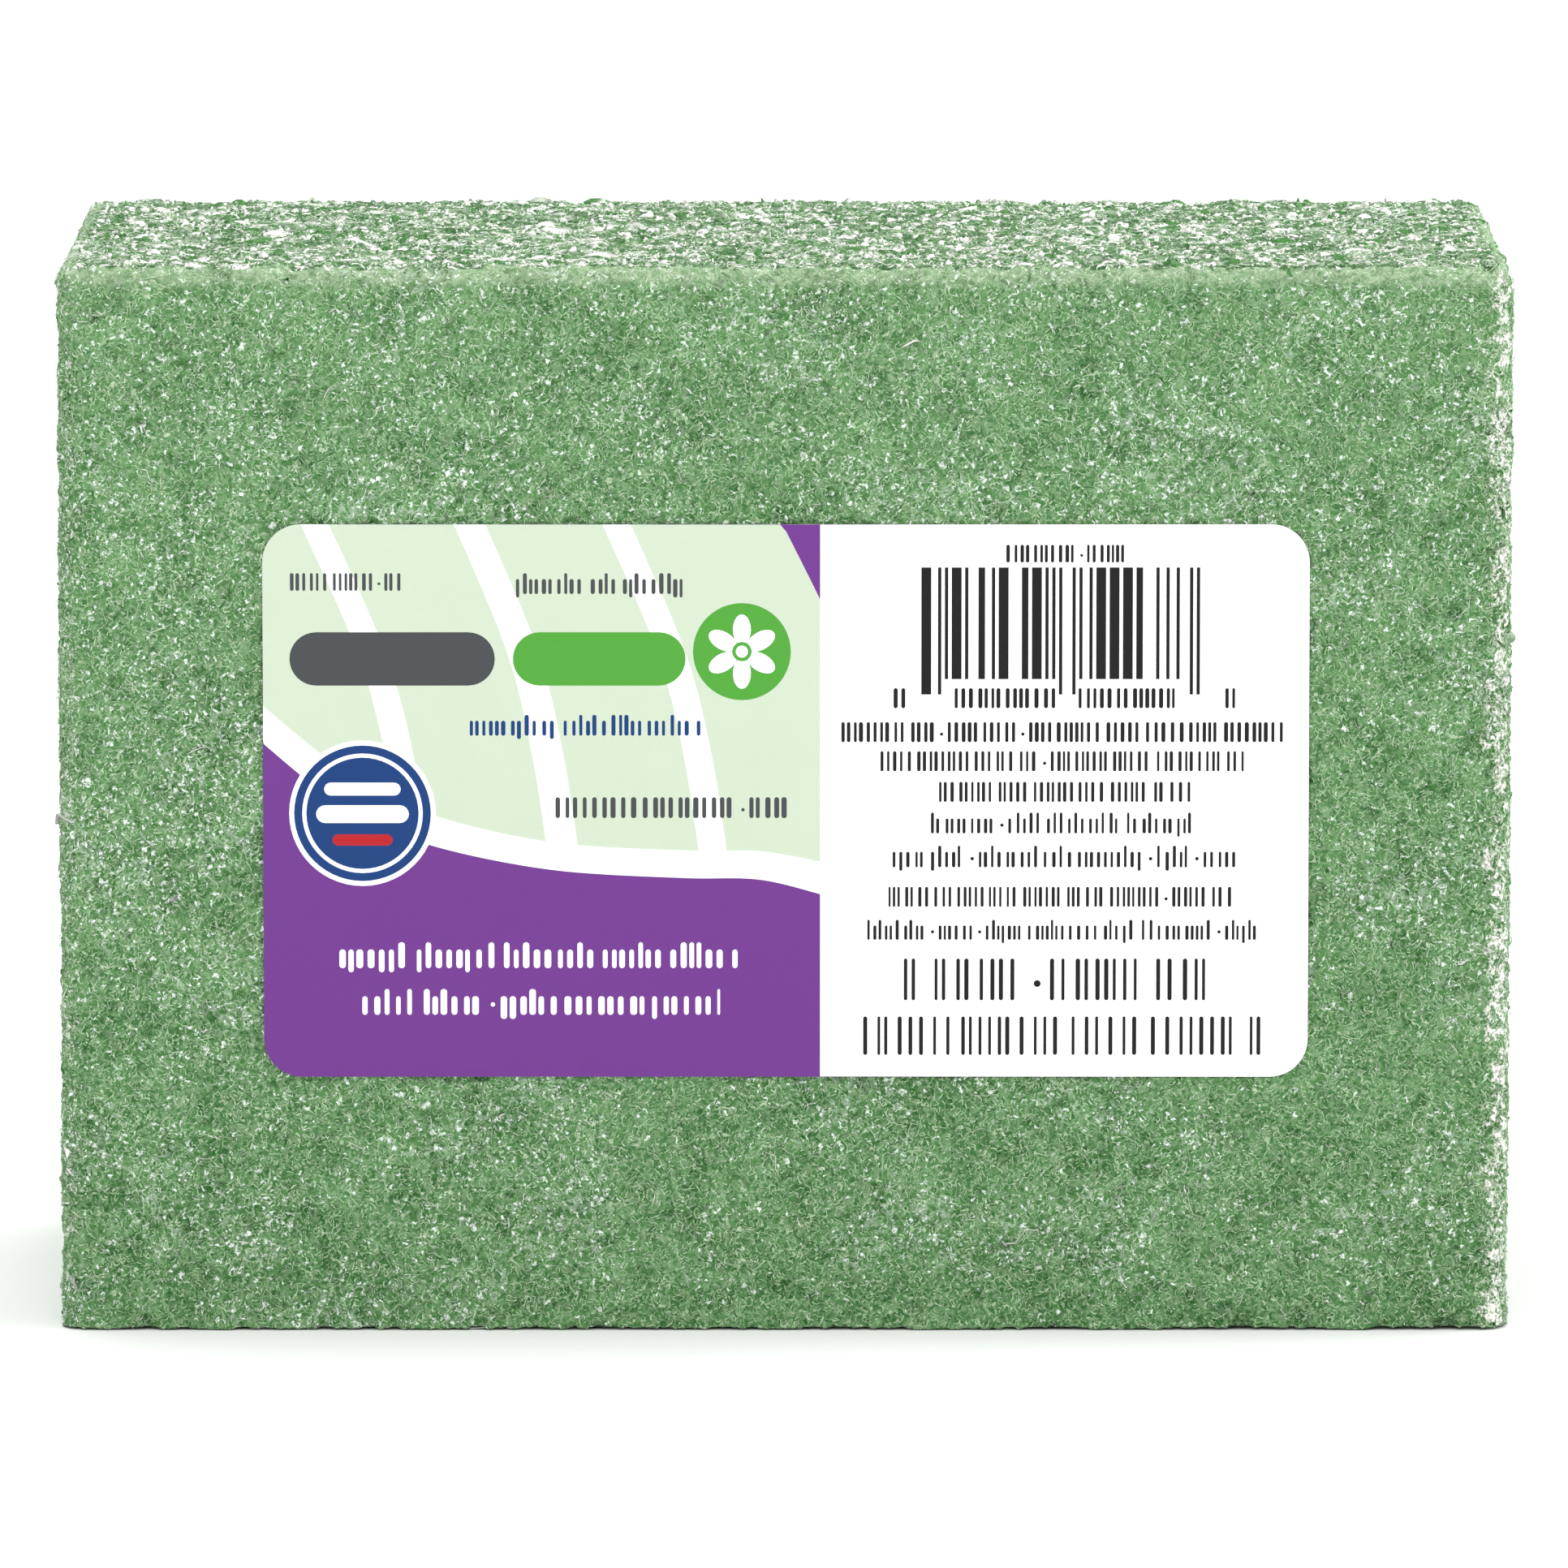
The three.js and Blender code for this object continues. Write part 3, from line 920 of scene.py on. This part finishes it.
foam.data.materials.append(foam_material())
walls.data.materials.append(wall_material())
struts.data.materials.append(strut_material())
chips.data.materials.append(flake_material())
INK = dict(white=((252, 252, 252), 0.32), pale_green=((196, 210, 188), 0.42), violet=((106, 50, 134), 0.40),
           grey=((66, 70, 72), 0.4), green=((76, 156, 52), 0.38), blue=((8, 56, 116), 0.38),
           red=((178, 24, 34), 0.38), black=((14, 13, 13), 0.4))
for name in inks:
    label.data.materials.append(print_material(name, *INK[name]))
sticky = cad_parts["label_adhesive"]
sticky.data.materials.clear()
sticky.data.materials.append(adhesive_material())

for piece, slot in ((foam, "foam"), (walls, "foam"), (struts, "foam"), (chips, "foam"), (label, "label_paper")):
    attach(piece, "root")
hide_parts("foam_brick")
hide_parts("label_face")


# ---------------------------------------------------------------------------
# floor, light and camera
# ---------------------------------------------------------------------------

def floor_material():
    m = Mat("pale_floor")
    p = m.put("ShaderNodeTexCoord").outputs["Object"]
    n = m.noise(p, 3.0, 2.0, 0.5)
    m.set(Base_Color=m.mix(n, (0.90, 0.90, 0.90, 1), (0.92, 0.92, 0.92, 1)), Roughness=m.math("MULTIPLY_ADD", n, 0.1, 0.7),
          Specular_IOR_Level=0.2)
    return m.m


g = 6.0
fm = bpy.data.meshes.new("floor")
fm.from_pydata([(-g, -g, 0), (g, -g, 0), (g, g, 0), (-g, g, 0)], [], [(0, 1, 2, 3)])
floor = add_object("floor", fm)
floor.location.z = float(blo.z) - 0.00002
fm.materials.append(floor_material())

world = bpy.data.worlds.new("studio")
bpy.context.scene.world = world
world.use_nodes = True
world.node_tree.nodes["Background"].inputs["Color"].default_value = (1, 1, 1, 1)
world.node_tree.nodes["Background"].inputs["Strength"].default_value = 1.0


def soft_light(name, where, aim, size, power):
    d = bpy.data.lights.new(name, "AREA")
    d.shape, d.size, d.energy = "SQUARE", size, power
    ob = bpy.data.objects.new(name, d)
    ob.location = where
    ob.rotation_euler = (Vector(aim) - Vector(where)).to_track_quat("-Z", "Y").to_euler()
    bpy.context.scene.collection.objects.link(ob)
    return ob


soft_light("front_softbox", (-0.25, -1.3, 0.95), (0, 0, 0.04), 1.0, 7.0)
soft_light("top_softbox", (0.05, 0.25, 1.1), (0, 0, 0.05), 0.9, 6.0)
soft_light("right_softbox", (1.1, 0.15, 0.45), (0, 0, 0.04), 0.7, 7.0)

cam_data = bpy.data.cameras.new("camera")
cam = bpy.data.objects.new("camera", cam_data)
bpy.context.scene.collection.objects.link(cam)
cam_data.sensor_width, cam_data.lens = 36.0, 352.7
cam_data.clip_start, cam_data.clip_end = 0.05, 50
cam.location = (-0.00006, -1.06006, 0.17267)
cam.rotation_euler = (math.radians(90 - 7.4336), 0, 0)
bpy.context.scene.camera = cam
bpy.context.scene.view_settings.view_transform = "Standard"
bpy.context.scene.view_settings.look = "None"
